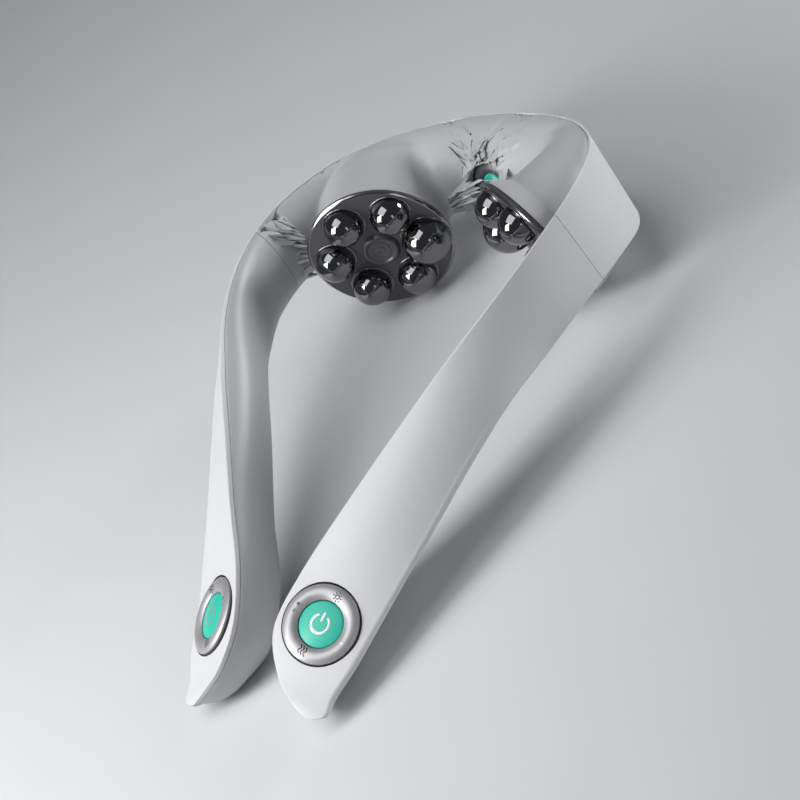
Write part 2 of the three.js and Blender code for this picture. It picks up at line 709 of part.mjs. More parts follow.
addPair('dial_gasket', tube(GASKET_INNER, GASKET_OUTER, -5, -0.5, 30), BLACK_RUBBER, dialPlace);
addPair('ring_carrier', tube(RING_BORE + 0.3, DIAL_RADIUS - 0.7, -4.4, -3.2, 24), INNER_BLACK, dialPlace);
addPair('dial_ring', dialRing(), SATIN_METAL, dialPlace);
addPair('centre_button', centreButton(), TEAL, dialPlace);
addPair('switch_board', switchBoard(), BOARD_GREEN, dialPlace);
addPair('battery_cell', disc(9, 0, 60, 24), CELL_BLUE, cellFrame(7.6));
addPair('arm_spigot', liner(SEAM_STATION - 0.3, SEAM_STATION + 0.3, 0.6), INNER_BLACK);

addPiece('badge_bezel', turned([
  [BADGE_LENS_RADIUS + FIT_GAP, -2], [BADGE_RADIUS, -2], [BADGE_RADIUS, 0.4], [BADGE_RADIUS - 1.5, 1.6],
  [BADGE_LENS_RADIUS + 1.5, 2], [BADGE_LENS_RADIUS + FIT_GAP, 1.4], [BADGE_LENS_RADIUS + FIT_GAP, -2],
], 30), GUNMETAL, badgePlace);
addPiece('badge_lens', turned([
  [0, -2], [BADGE_LENS_RADIUS, -2], [BADGE_LENS_RADIUS, 1], [BADGE_LENS_RADIUS - 1.5, 1.7], [0, 2],
], 20), TEAL, badgePlace);
addPiece('badge_light_board', box(16, 12, 1.6, 0, 0, -4.2), BOARD_GREEN, badgePlace);
addPiece('main_board', box(44, 1.6, 26, 0, 52.5, -4), BOARD_GREEN);

const portSocket = toSolid(box(9.2, 3.4, 7, 0, 0, -4.7)).subtract(toSolid(box(8, 2.4, 6, 0, 0, -3)));
addPiece('right_charge_port', toGeometry(portSocket), STEEL, portPlace);

export default massager;
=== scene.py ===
"""Looks of the shiatsu neck massager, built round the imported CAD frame. Lengths here are millimetres in the
band's own pose, before it is laid down; to_row() turns them into the row frame."""

import math

import bmesh
import bpy
import numpy as np
from mathutils import Matrix, Vector
from mathutils.bvhtree import BVHTree


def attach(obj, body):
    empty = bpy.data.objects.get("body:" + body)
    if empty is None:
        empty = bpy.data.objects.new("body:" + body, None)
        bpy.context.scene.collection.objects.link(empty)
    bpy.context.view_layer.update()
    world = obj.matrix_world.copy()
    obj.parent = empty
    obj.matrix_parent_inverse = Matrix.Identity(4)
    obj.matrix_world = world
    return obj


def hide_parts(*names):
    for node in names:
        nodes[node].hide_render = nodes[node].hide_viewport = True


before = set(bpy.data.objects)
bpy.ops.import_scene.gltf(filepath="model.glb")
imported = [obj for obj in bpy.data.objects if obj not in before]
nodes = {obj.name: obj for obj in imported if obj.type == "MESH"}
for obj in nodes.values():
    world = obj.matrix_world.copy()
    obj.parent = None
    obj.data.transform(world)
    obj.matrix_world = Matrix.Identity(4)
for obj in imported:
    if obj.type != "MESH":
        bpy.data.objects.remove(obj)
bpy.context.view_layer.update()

# ---------------------------------------------------------------- driving dimensions

REST_TILT = math.radians(2.2)
REST_SHIFT = np.array([0.0, 103.9, 36.55])
HEAD_CENTRE = (55, -1.9, 3.3)
TOE_IN = math.radians(28.7)
# Each housing's sections: half width, height above the head's axis, height below it.
HOUSING_FRONT = np.array([38.6, 37.6, 40.6])
HOUSING_COLLAR = np.array([34.5, 30.0, 40.6])
HOUSING_END = np.array([32.0, 24.5, 16.0])
COLLAR_DEPTH = 9.5
HOUSING_DEPTH = 50.0
BUSH_HOLE = 8.4
WALL = 1.9
COVER_WALL = 1.2
PLATE_RADIUS = 39.0
PLATE_BACK = 0.6
PLATE_FRONT = 3.8
DOME_RING = 25.4
DOME_PHASE = {"right": 182.0, "left": 194.5}
LARGE_DOME = 13.2
SMALL_DOME = 10.5
DOME_BASE = 1.4
SEAM = 4.5
SEAM_GAP = 0.35
DIAL_STATION = 10.62
DIAL_ACROSS = 0.476
DIAL_RADIUS = 19.5
DIAL_HOLE = 20.35
BUTTON_RADIUS = 11.4
BADGE_CENTRE = np.array([0.0, 39.3, -1.0])
BADGE_RADIUS = 12.5
BADGE_LEAN = math.radians(25)

# Upper rim, lower rim, then bow of the face, depth of the body, place of its crest, roll at the lower rim
# and fall of the keel from it: from the middle of the back to the tip of an arm.
STATIONS = [
    ((0, 67, 22.8), (0, 56.5, -27.5), (0, 26, 0.74, 1.5, 1)),
    ((35, 64.5, 22.2), (35.5, 54, -28), (0, 24, 0.72, 1.5, 1)),
    ((68, 53, 25.2), (71, 42.5, -25.5), (0, 17, 0.68, 1.5, 1)),
    ((92.2, 30, 32.3), (97, 19.5, -16.5), (0, 10, 0.66, 1.5, 1)),
    ((103.8, -5, 41), (107.5, -12, -4), (0, 8.5, 0.66, 1.5, 1)),
    ((103, -42, 45.7), (107, -47, 3.3), (1, 9.5, 0.66, 2, 1)),
    ((93.3, -77, 45.5), (100.5, -79, 5.5), (3, 13.5, 0.66, 2.5, 1)),
    ((76.3, -112, 41), (96.5, -111, 10), (4.5, 22, 0.64, 3.5, 1.1)),
    ((57.2, -147.5, 33.2), (87.9, -145.1, 7.6), (4.5, 27, 0.6, 3, 1.35)),
    ((39.5, -181, 25.2), (76.9, -182, 1.4), (3.5, 29.5, 0.56, 2.5, 1.7)),
    ((23, -212, 16.6), (65.4, -216.9, -5.4), (1.8, 32.6, 0.52, 2.5, 2)),
    ((14.2, -239, 9.2), (57.3, -245.7, -9.7), (0.8, 31, 0.5, 2.5, 2)),
    ((20, -258.5, -0.3), (50.8, -261.9, -12.7), (0.5, 21, 0.5, 2.5, 2)),
    ((31, -270, -7.5), (48.7, -271.2, -14.6), (0.3, 11, 0.5, 1.5, 2)),
    ((38.5, -274.5, -12.2), (42, -274.5, -13.6), (0, 3, 0.5, 0.5, 2)),
]
TIP = len(STATIONS) - 1

# ---------------------------------------------------------------- frames


def to_row(points):
    """Design millimetres to row metres: the band is tipped about X and set down."""
    p = np.asarray(points, float)
    c, s = math.cos(REST_TILT), math.sin(REST_TILT)
    turned = np.stack([p[..., 0], p[..., 1] * c - p[..., 2] * s, p[..., 1] * s + p[..., 2] * c], -1)
    return (turned + REST_SHIFT) / 1000


def unit(v):
    """The vector at length one."""
    return v / np.linalg.norm(v)


def spline(values):
    """A Catmull-Rom curve through one value for each station, from one arm's tip to the other's."""
    count = len(values) - 1

    def at(station):
        x = min(max(station + TIP, 0), count)
        i = min(int(x), count - 1)
        t = x - i
        p1, p2 = values[i], values[i + 1]
        p0 = values[i - 1] if i > 0 else 2 * p1 - p2
        p3 = values[i + 2] if i + 2 <= count else 2 * p2 - p1
        v0, v1 = (p2 - p0) / 2, (p3 - p1) / 2
        return (2 * p1 - 2 * p2 + v0 + v1) * t**3 + (3 * (p2 - p1) - 2 * v0 - v1) * t**2 + v0 * t + p1

    return at


def both_arms(part, flip):
    """A spline through one part of the stations, the left arm's values being the right's times the flip."""
    right = np.array([s[part] for s in STATIONS], float)
    left = right[1:][::-1] * np.array(flip)
    return spline(np.vstack([left, right]))


upper_rim = both_arms(0, (-1, 1, 1))
lower_rim = both_arms(1, (-1, 1, 1))
shape_of = both_arms(2, (1, 1, 1, 1, 1))


class Section:
    """The band's cross-section at a station: s runs from the upper rim to the lower, d goes into the body."""

    def __init__(self, station):
        self.station = station
        step = 0.02
        behind, ahead = max(station - step, -TIP), min(station + step, TIP)
        middle = [(upper_rim(u) + lower_rim(u)) / 2 for u in (behind, ahead)]
        self.along = unit(middle[1] - middle[0])
        self.origin = upper_rim(station)
        across = lower_rim(station) - self.origin
        self.width = np.linalg.norm(across)
        self.across = across / self.width
        self.inward = unit(np.cross(self.across, self.along))
        self.facing = np.cross(self.inward, self.across)
        self.bow, self.depth, self.crest, self.roll, self.fall = shape_of(station)

    def level(self, s):
        t = np.clip(s / self.width, 0, 1)
        return -4 * self.bow * t * (1 - t)

    def place(self, outline):
        o = np.asarray(outline, float)
        return self.origin + o[:, :1] * self.across + o[:, 1:] * self.inward


def resample(points, count):
    """Points evenly spaced along a polyline, its ends kept."""
    p = np.asarray(points, float)
    run = np.concatenate([[0], np.cumsum(np.linalg.norm(np.diff(p, axis=0), axis=1))])
    at = np.linspace(0, run[-1], count)
    return np.stack([np.interp(at, run, p[:, k]) for k in range(p.shape[1])], 1)


def offset(points, distance):
    """A polyline moved to its left-hand normal side by a distance."""
    p = np.asarray(points, float)
    tangent = np.gradient(p, axis=0)
    tangent /= np.maximum(np.linalg.norm(tangent, axis=1, keepdims=True), 1e-9)
    normal = np.stack([-tangent[:, 1], tangent[:, 0]], 1)
    return p + normal * distance


def bezier(a, b, c, count):
    """Points of a quadratic curve from a to c that leans towards b."""
    t = np.linspace(0, 1, count)[:, None]
    return (1 - t) ** 2 * np.array(a) + 2 * t * (1 - t) * np.array(b) + t**2 * np.array(c)


BACK_LIP = 1.3
ARM_LIP = 2.5
LIP_GAP = 0.22


def cover_lip(station):
    """How far the cover wraps round the rims: a little on the back, more along the arms."""
    t = min(max((abs(station) - 3.8) / 3, 0), 1)
    return BACK_LIP + (ARM_LIP - BACK_LIP) * t * t * (3 - 2 * t)


def keel_curve(sec):
    """From the lower rim's roll round the body's back to the upper rim."""
    far, crest_at = sec.width, sec.crest * sec.width
    roll_top = sec.level(far - sec.roll)
    roll_end = roll_top + sec.roll
    a = np.linspace(0, math.pi / 2, 14)
    roll = np.stack([far - sec.roll + sec.roll * np.sin(a), roll_top + sec.roll * (1 - np.cos(a))], 1)
    a = np.linspace(0, math.pi / 2, 40)[1:]
    fallen = roll_end + (sec.depth - roll_end) * np.sin(a) ** sec.fall
    outer = np.stack([crest_at + (far - crest_at) * np.cos(a), fallen], 1)
    a = np.linspace(math.pi / 2, math.pi, 60)[1:]
    inner = np.stack([crest_at * (1 + np.cos(a)), sec.depth * np.sin(a)], 1)
    return np.vstack([roll, outer, inner])


def cut_curve(sec, depth):
    """Splits the curve round the back at a depth behind the face: lower part, middle, upper part."""
    curve = keel_curve(sec)
    behind = curve[:, 1] - sec.level(curve[:, 0])
    limit = min(depth, 0.42 * behind.max())
    inside = np.nonzero(behind > limit)[0]
    first, last = inside[0], inside[-1]

    def crossing(i, j):
        t = (limit - behind[i]) / (behind[j] - behind[i])
        return curve[i] + (curve[j] - curve[i]) * t

    start = crossing(first - 1, first)
    end = crossing(last + 1, last)
    lower = np.vstack([curve[:first], [start]])
    upper = np.vstack([[end], curve[last + 1 :]])
    middle = np.vstack([[start], curve[first : last + 1], [end]])
    return lower, middle, upper


def cover_outline(sec):
    """Open outline of the cover: up the upper lip, over its edge, across the face and round the roll."""
    lower, _, upper = cut_curve(sec, cover_lip(sec.station))
    edge = min(0.6, 0.25 * sec.depth, 0.2 * sec.width)
    face_end = sec.width - sec.roll
    lip = upper[upper[:, 1] > edge]
    if len(lip) < 2:
        lip = upper[:2]
    corner = bezier(lip[-1], (0, 0), (edge, sec.level(edge)), 7)
    s = np.linspace(edge, face_end, 30)
    face = np.stack([s, sec.level(s)], 1)
    return np.vstack([resample(lip, 5)[:-1], corner, face[1:], resample(lower, 12)[1:]])


def keel_outline(sec):
    _, middle, _ = cut_curve(sec, cover_lip(sec.station) + LIP_GAP)
    return resample(middle, 44)


def channel_ring(outline, wall):
    """Outer and inner side of an open outline with thickness, its two edges softened."""
    soft = min(0.25, wall / 4)
    inner = offset(outline, wall)
    tangent_a = unit(outline[1] - outline[0])
    tangent_b = unit(outline[-2] - outline[-1])
    first = offset(outline, soft)[0]
    last = offset(outline, soft)[-1]
    start_corner = outline[0] + tangent_a * soft
    end_corner = outline[-1] + tangent_b * soft
    outer = np.vstack([[first], start_corner, outline[1:-1], end_corner, [last]])
    return outer, inner[::-1]


# ---------------------------------------------------------------- meshes


def face_outward(mesh):
    """Turns every face of a closed mesh to the outside."""
    bm = bmesh.new()
    bm.from_mesh(mesh)
    bmesh.ops.recalc_face_normals(bm, faces=bm.faces)
    bm.to_mesh(mesh)
    bm.free()


def new_object(name, vertices, faces, body, material, smooth=True, angle=40):
    """A mesh object from its vertices in row metres, riding a body."""
    mesh = bpy.data.meshes.new(name)
    mesh.from_pydata([tuple(v) for v in vertices], [], [tuple(f) for f in faces])
    mesh.validate()
    face_outward(mesh)
    obj = bpy.data.objects.new(name, mesh)
    bpy.context.scene.collection.objects.link(obj)
    finish_object(obj, body, material, smooth, angle)
    return obj


def finish_object(obj, body, material, smooth=True, angle=40):
    """Shading, material and body of a piece; edges sharper than the angle stay sharp."""
    mesh = obj.data
    if smooth:
        mesh.polygons.foreach_set("use_smooth", [True] * len(mesh.polygons))
        mesh.set_sharp_from_angle(angle=math.radians(angle))
    mesh.materials.clear()
    mesh.materials.append(material)
    if body:
        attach(obj, body)


def apply_modifiers(obj):
    """Makes an object's modified mesh its own mesh."""
    depsgraph = bpy.context.evaluated_depsgraph_get()
    mesh = bpy.data.meshes.new_from_object(obj.evaluated_get(depsgraph))
    obj.modifiers.clear()
    old = obj.data
    obj.data = mesh
    bpy.data.meshes.remove(old)


def loft_faces(ring_count, size, caps=True):
    """Quads between one closed ring and the next, with or without a face over each end."""
    faces = []
    for r in range(ring_count - 1):
        for i in range(size):
            j = (i + 1) % size
            faces.append((r * size + i, r * size + j, (r + 1) * size + j, (r + 1) * size + i))
    if caps:
        faces.append(tuple(range(size))[::-1])
        faces.append(tuple((ring_count - 1) * size + i for i in range(size)))
    return faces


def channel(name, stations, outline_of, wall, body, material):
    """A shell: an open outline with thickness, lofted along the band."""
    rings = []
    for u in stations:
        sec = Section(u)
        thick = min(wall, 0.3 * sec.depth, 0.3 * sec.width)
        outer, inner = channel_ring(outline_of(sec), thick)
        rings.append(sec.place(np.vstack([outer, inner])))
    size = len(rings[0])
    half = size // 2
    vertices = to_row(np.vstack(rings))
    faces = loft_faces(len(rings), size, caps=False)
    for ring in (0, len(rings) - 1):
        base = ring * size
        for i in range(half - 1):
            faces.append((base + i, base + i + 1, base + size - 2 - i, base + size - 1 - i))
    return new_object(name, vertices, faces, body, material, angle=50)


def turned(name, profile, matrix, body, material, slot=None, segments=96, angle=35, mirror=False):
    """Turns a profile of (radius, height) about local Z: it closes on the axis or ends where it starts."""
    vertices = []
    faces = []
    index = []
    for r, z in profile:
        if r < 1e-6:
            index.append([len(vertices)])
            vertices.append((0, 0, z))
        else:
            index.append(list(range(len(vertices), len(vertices) + segments)))
            for k in range(segments):
                a = 2 * math.pi * k / segments
                vertices.append((r * math.cos(a), r * math.sin(a), z))
    pairs = list(zip(index, index[1:]))
    if profile[0] == profile[-1]:
        pairs = list(zip(index[:-1], index[1:-1] + index[:1]))
        vertices = vertices[: index[-1][0]]
    for a, b in pairs:
        for k in range(segments):
            n = (k + 1) % segments
            if len(a) == 1 and len(b) == 1:
                continue
            if len(a) == 1:
                faces.append((a[0], b[k], b[n]))
            elif len(b) == 1:
                faces.append((a[k], a[n], b[0]))
            else:
                faces.append((a[k], a[n], b[n], b[k]))
    points = place_local(np.array(vertices), matrix, mirror)
    return new_object(name, points, faces, body, material, angle=angle)


def place_local(points, matrix, mirror=False):
    """Local millimetres to row metres, on the right or mirrored to the left."""
    p = np.asarray(points, float)
    design = p @ matrix[:3, :3].T + matrix[:3, 3]
    if mirror:
        design = design * np.array([-1, 1, 1])
    return to_row(design)


def basis(x, y, z, origin):
    """A frame as a matrix, from its three axes and its origin."""
    m = np.eye(4)
    m[:3, 0], m[:3, 1], m[:3, 2], m[:3, 3] = x, y, z, origin
    return m


head_axis = np.array([-math.sin(TOE_IN), -math.cos(TOE_IN), 0])
head_up = np.array([0.0, 0, 1])
HEAD = basis(np.cross(head_up, head_axis), head_up, head_axis, HEAD_CENTRE)

dial_section = Section(DIAL_STATION)
dial_s = DIAL_ACROSS * dial_section.width
dial_centre = dial_section.place([[dial_s, dial_section.level(dial_s)]])[0]
dial_out = -dial_section.inward
DIAL = basis(dial_section.across, np.cross(dial_out, dial_section.across), dial_out, dial_centre)

badge_out = np.array([0, -math.cos(BADGE_LEAN), math.sin(BADGE_LEAN)])
BADGE = basis((1, 0, 0), np.cross(badge_out, (1, 0, 0)), badge_out, BADGE_CENTRE)

# ---------------------------------------------------------------- materials


def material(name, color, roughness, metallic=0.0, grain=0.0, grain_scale=1500.0, mottle=0.0):
    """A principled surface with fine relief, patchy roughness and a slight drift in its colour."""
    m = bpy.data.materials.new(name)
    m.use_nodes = True
    tree = m.node_tree
    shader = tree.nodes["Principled BSDF"]
    shader.inputs["Metallic"].default_value = metallic
    coordinates = tree.nodes.new("ShaderNodeTexCoord")
    fine = tree.nodes.new("ShaderNodeTexNoise")
    fine.inputs["Scale"].default_value = grain_scale
    fine.inputs["Detail"].default_value = 3
    broad = tree.nodes.new("ShaderNodeTexNoise")
    broad.inputs["Scale"].default_value = 22
    broad.inputs["Detail"].default_value = 2
    for noise in (fine, broad):
        tree.links.new(coordinates.outputs["Object"], noise.inputs["Vector"])
    rough = tree.nodes.new("ShaderNodeMapRange")
    rough.inputs["To Min"].default_value = max(0.02, roughness * 0.9)
    rough.inputs["To Max"].default_value = min(1.0, roughness * 1.1)
    tree.links.new(broad.outputs["Fac"], rough.inputs["Value"])
    tree.links.new(rough.outputs["Result"], shader.inputs["Roughness"])
    ramp = tree.nodes.new("ShaderNodeValToRGB")
    low = [c * (1 - mottle) for c in color]
    ramp.color_ramp.elements[0].position = 0.3
    ramp.color_ramp.elements[1].position = 0.7
    ramp.color_ramp.elements[0].color = (*low, 1)
    ramp.color_ramp.elements[1].color = (*color, 1)
    tree.links.new(broad.outputs["Fac"], ramp.inputs["Fac"])
    tree.links.new(ramp.outputs["Color"], shader.inputs["Base Color"])
    if grain > 0:
        bump = tree.nodes.new("ShaderNodeBump")
        bump.inputs["Strength"].default_value = grain
        bump.inputs["Distance"].default_value = 0.0001
        tree.links.new(fine.outputs["Fac"], bump.inputs["Height"])
        tree.links.new(bump.outputs["Normal"], shader.inputs["Normal"])
    return m


PEARL = material("pearl_plastic", (0.68, 0.685, 0.695), 0.36, grain=0.12, grain_scale=2600, mottle=0.015)
INNER = material("satin_grey_plastic", (0.50, 0.505, 0.515), 0.40, grain=0.16, grain_scale=2200, mottle=0.02)
GUNMETAL = material("gunmetal", (0.10, 0.10, 0.105), 0.34, metallic=0.35, grain=0.05, grain_scale=3000,
                    mottle=0.05)
GUNMETAL_EDGE = material("gunmetal_polish", (0.34, 0.34, 0.35), 0.14, metallic=1.0, mottle=0.03)
# The domes' chrome is darkened in colour so that its reflections come out dark: a painted dark reflection of
# dark surroundings.
CHROME_PAINTED_DARK = material("chrome_painted_dark_reflection", (0.20, 0.20, 0.205), 0.03, metallic=1.0, mottle=0.02)
RING = material("satin_metal", (0.46, 0.455, 0.47), 0.40, metallic=0.45, grain=0.1, grain_scale=3500,
                mottle=0.03)
TEAL = material("teal_plastic", (0.03, 0.56, 0.42), 0.32, grain=0.05, mottle=0.03)
SILVER = material("silver_print", (0.60, 0.62, 0.62), 0.3, metallic=0.6)
INK = material("dark_print", (0.006, 0.006, 0.007), 0.6)
SEAL = material("black_seal", (0.012, 0.012, 0.013), 0.6, grain=0.1)
NYLON = material("nylon", (0.75, 0.71, 0.6), 0.45, grain=0.05)
STEEL = material("steel", (0.42, 0.43, 0.44), 0.28, metallic=1.0, grain=0.05)
BOARD = material("board", (0.03, 0.14, 0.06), 0.45, mottle=0.2)
WRAP = material("cell_wrap", (0.05, 0.16, 0.38), 0.4)
BLACK = material("inner_black", (0.02, 0.02, 0.022), 0.55, grain=0.1)

# ---------------------------------------------------------------- outer covers and keel shells


def stations_between(start, end, step):
    """Evenly spaced stations from start to end, about a step apart."""
    count = max(2, int(round((end - start) / step)))
    return list(np.linspace(start, end, count + 1))


# From this station on, the arm's rings crowd together towards its rounded tip.
TIP_START = 12.6
TIP_RUN = 1.34
TIP_RINGS = 22


def arm_stations(start):
    """An arm's stations, from its seam to its tip."""
    even = stations_between(start, TIP_START, 0.09)
    steps = range(1, TIP_RINGS + 1)
    return even + [TIP_START + TIP_RUN * math.sin(math.pi / 2 * k / TIP_RINGS) for k in steps]


# How far from one station to the next, in millimetres along the band at the seam.
near_side, far_side = [(upper_rim(u) + lower_rim(u)) / 2 for u in (4.4, 4.6)]
band_length = np.linalg.norm(far_side - near_side) / 0.2
gap_half = SEAM_GAP / 2 / band_length
seam_end = SEAM - gap_half
seam_start = SEAM + gap_half

back_stations = stations_between(-seam_end, seam_end, 0.08)
back_cover = channel("back_cover_skin", back_stations, cover_outline, COVER_WALL, "frame", PEARL)
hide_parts("back_cover")


def difference(obj, cutters, solver="MANIFOLD"):
    """Cuts solids out of an object and drops them."""
    for cutter in cutters:
        cut = obj.modifiers.new("cut", "BOOLEAN")
        cut.operation = "DIFFERENCE"
        cut.solver = solver
        cut.object = cutter
    apply_modifiers(obj)
    for cutter in cutters:
        bpy.data.objects.remove(cutter)


# The shading is carried over this far round a dial, from surfaces no further apart than this (metres).
SHADING_REACH = 0.036
SHADING_GAP = 0.0002


def keep_curvature(obj, smooth, centre):
    """Gives the faces near a cut the shading of the uncut surface."""
    near = obj.vertex_groups.new(name="near")
    inside = [v.index for v in obj.data.vertices if (v.co - centre).length < SHADING_REACH]
    near.add(inside, 1.0, "REPLACE")
    keep = obj.modifiers.new("keep", "DATA_TRANSFER")
    keep.object = smooth
    keep.use_loop_data = True
    keep.data_types_loops = {"CUSTOM_NORMAL"}
    keep.loop_mapping = "POLYINTERP_NEAREST"
    keep.use_max_distance = True
    keep.max_distance = SHADING_GAP
    keep.vertex_group = near.name
    apply_modifiers(obj)
    obj.vertex_groups.clear()


for side, sign in (("right", 1), ("left", -1)):
    us = [sign * u for u in arm_stations(seam_start)]
    cover = channel(f"{side}_arm_cover_skin", us, cover_outline, COVER_WALL, None, PEARL)
    plug = [(0, -8), (DIAL_HOLE, -8), (DIAL_HOLE, 8), (0, 8)]
    hole = turned("hole_cutter", plug, DIAL, None, PEARL, segments=128, mirror=sign < 0)
    plain = cover.copy()
    plain.data = cover.data.copy()
    bpy.context.scene.collection.objects.link(plain)
    difference(cover, [hole], "EXACT")
    keep_curvature(cover, plain, Vector(place_local([0, 0, 0], DIAL, sign < 0)))
    bpy.data.objects.remove(plain)
    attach(cover, "frame")
    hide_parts(f"{side}_arm_cover")
    keel = channel(f"{side}_arm_keel_skin", us, keel_outline, WALL, "frame", INNER)
    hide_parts(f"{side}_arm_keel_shell")

# ---------------------------------------------------------------- inner shell of the back


ROUND = np.linspace(0, 2 * math.pi, 161)[:-1]


def housing_ring(depth, inset):
    """One section of a head's housing, at a depth behind the housing's front, in the head's own frame."""
    reach = max(0.0, (depth - COLLAR_DEPTH) / (HOUSING_DEPTH - COLLAR_DEPTH))
    ease = (1 - math.cos(math.pi * reach)) / 2
    collar = min(1.0, depth / COLLAR_DEPTH)
    along = np.array([reach, reach, ease])
    before = HOUSING_FRONT * (1 - collar) + HOUSING_COLLAR * collar
    wide, above, below = before * (1 - along) + HOUSING_END * along
    high = (above + below) / 2
    across = (wide - inset) * np.cos(ROUND)
    return np.stack([across, (high - inset) * np.sin(ROUND) + above - high, np.full_like(ROUND, -depth)], 1)


def housing_rings(front, inset):
    """Sections of the right housing from a depth behind its front to its end, in the band's own pose."""
    depths = np.concatenate([[front, COLLAR_DEPTH], np.linspace(COLLAR_DEPTH, HOUSING_DEPTH, 60)[1:]])
    return [housing_ring(depth, inset) @ HEAD[:3, :3].T + HEAD[:3, 3] for depth in depths]


# How far behind the cover's face the body's own face lies, and how far behind it the body's sides begin.
FACE_SINK = 0.3
BODY_LIP = 0.4
# How far the cut-away front reaches past the rims and ahead of the face.
FRONT_MARGIN = 9
FRONT_AHEAD = 12


def body_ring(u, inset=0.0):
    """The band's whole outline at a station, drawn in by an inset."""
    sec = Section(u)
    _, middle, _ = cut_curve(sec, BODY_LIP)
    back = offset(resample(middle, 60), inset)
    if inset > 0:
        deep = back[:, 1] > sec.level(back[:, 0]) + inset
        back = resample(back[deep], 60)
    s = np.linspace(back[-1, 0], back[0, 0], 16)[1:-1]
    face = np.stack([s, sec.level(s) + FACE_SINK + inset], 1)
    return sec.place(np.vstack([back, face]))


def front_ring(u):
    """Everything in front of the line where the cover's lips meet the inner shell."""
    sec = Section(u)
    s = np.linspace(-FRONT_MARGIN, sec.width + FRONT_MARGIN, 20)
    level = sec.level(s)
    deep = cover_lip(u) + LIP_GAP
    return sec.place(np.vstack([np.stack([s, level - FRONT_AHEAD], 1), np.stack([s, level + deep], 1)[::-1]]))


def closed_loft(rings):
    """Vertices and faces of a solid lofted through closed rings, fanned shut at both ends."""
    vertices = np.vstack(rings)
    size = len(rings[0])
    faces = loft_faces(len(rings), size, caps=False)
    centre_a = rings[0].mean(0)
    centre_b = rings[-1].mean(0)
    vertices = np.vstack([vertices, [centre_a, centre_b]])
    base = (len(rings) - 1) * size
    count = len(vertices)
    for i in range(size):
        j = (i + 1) % size
        faces.append((count - 2, j, i))
        faces.append((count - 1, base + i, base + j))
    return vertices, faces


def distance_to(tree, points, normal_sign):
    """Signed distance from each point to a surface, and the way out of it."""
    signed = np.zeros(len(points))
    out = np.zeros((len(points), 3))
    for i, p in enumerate(points):
        near, normal, _, dist = tree.find_nearest(Vector(p))
        away = np.array(p) - np.array(near)
        sign = 1.0 if away @ (np.array(normal) * normal_sign) >= 0 else -1.0
        signed[i] = sign * dist
        out[i] = sign * away / dist if dist > 1e-5 else np.array(normal) * normal_sign
    return signed, out


def outward_sign(vertices, faces):
    """+1 if the faces look out of the solid, -1 if they look into it."""
    total = 0.0
    v = np.asarray(vertices)
    for f in faces:
        for k in range(1, len(f) - 1):
            total += v[f[0]] @ np.cross(v[f[k]], v[f[k + 1]])
    return 1.0 if total > 0 else -1.0


# The back is shaped past its seams, then cut to length. The stations where the slab, the hollow and the
# cut-away front end:
SLAB_END = 5.1
HOLLOW_END = 5.2
FRONT_END = 5.3
# A housing's solid starts this deep behind its front, this far inside its collar's surface.
FLARE_FRONT = 5.0
FLARE_INSET = 0.3
FINE_VOXEL = 1.7

slab = closed_loft([body_ring(u) for u in stations_between(-SLAB_END, SLAB_END, 0.06)])
right_flare = closed_loft(housing_rings(FLARE_FRONT, FLARE_INSET))
left_flare = (right_flare[0] * np.array([-1, 1, 1]), right_flare[1])
solids = [slab, right_flare, left_flare]
trees = [(BVHTree.FromPolygons([tuple(v) for v in vs], fs), outward_sign(vs, fs)) for vs, fs in solids]

everything = bpy.data.meshes.new("back_union")
all_vertices = []
all_faces = []
for vs, fs in solids:
    shift = len(all_vertices)
    all_vertices += [tuple(v) for v in vs]
    all_faces += [tuple(i + shift for i in f) for f in fs]
everything.from_pydata(all_vertices, [], all_faces)
union = bpy.data.objects.new("back_shell_skin", everything)
bpy.context.scene.collection.objects.link(union)
face_outward(everything)
remesh = union.modifiers.new("remesh", "REMESH")
remesh.mode = "VOXEL"
remesh.voxel_size = FINE_VOXEL
apply_modifiers(union)

# How far the housings' sides blend into the band: little at the band's rims, fully BLEND_RISE deeper.
BLEND = 9.0
RIM_BLEND = 0.5
BLEND_START = 2.5
BLEND_RISE = 8
FIT_STEPS = 8
RELAXED_STEPS = 6
LONGEST_MOVE = 3


def face_depth(points, sections):
    """Depth of each point behind the band's outer face, from the nearest of the sections."""
    middles = np.array([(s.origin + s.across * s.width / 2) for s in sections])
    origins = np.array([s.origin for s in sections])
    inwards = np.array([s.inward for s in sections])
    depth = np.zeros(len(points))
    for start in range(0, len(points), 4000):
        block = points[start : start + 4000]
        nearest = ((block[:, None] - middles[None]) ** 2).sum(2).argmin(1)
        depth[start : start + 4000] = ((block - origins[nearest]) * inwards[nearest]).sum(1)
    return depth


band_sections = [Section(u) for u in stations_between(-SLAB_END, SLAB_END, 0.02)]
points = np.array([v.co for v in union.data.vertices])
edges = np.array([e.vertices[:] for e in union.data.edges])
neighbours = np.bincount(edges.ravel(), minlength=len(points))[:, None]


def relaxed(places):
    """Each point drawn halfway to the middle of its neighbours, which keeps the mesh even."""
    total = np.zeros_like(places)
    np.add.at(total, edges[:, 0], places[edges[:, 1]])
    np.add.at(total, edges[:, 1], places[edges[:, 0]])
    return (places + total / neighbours) / 2


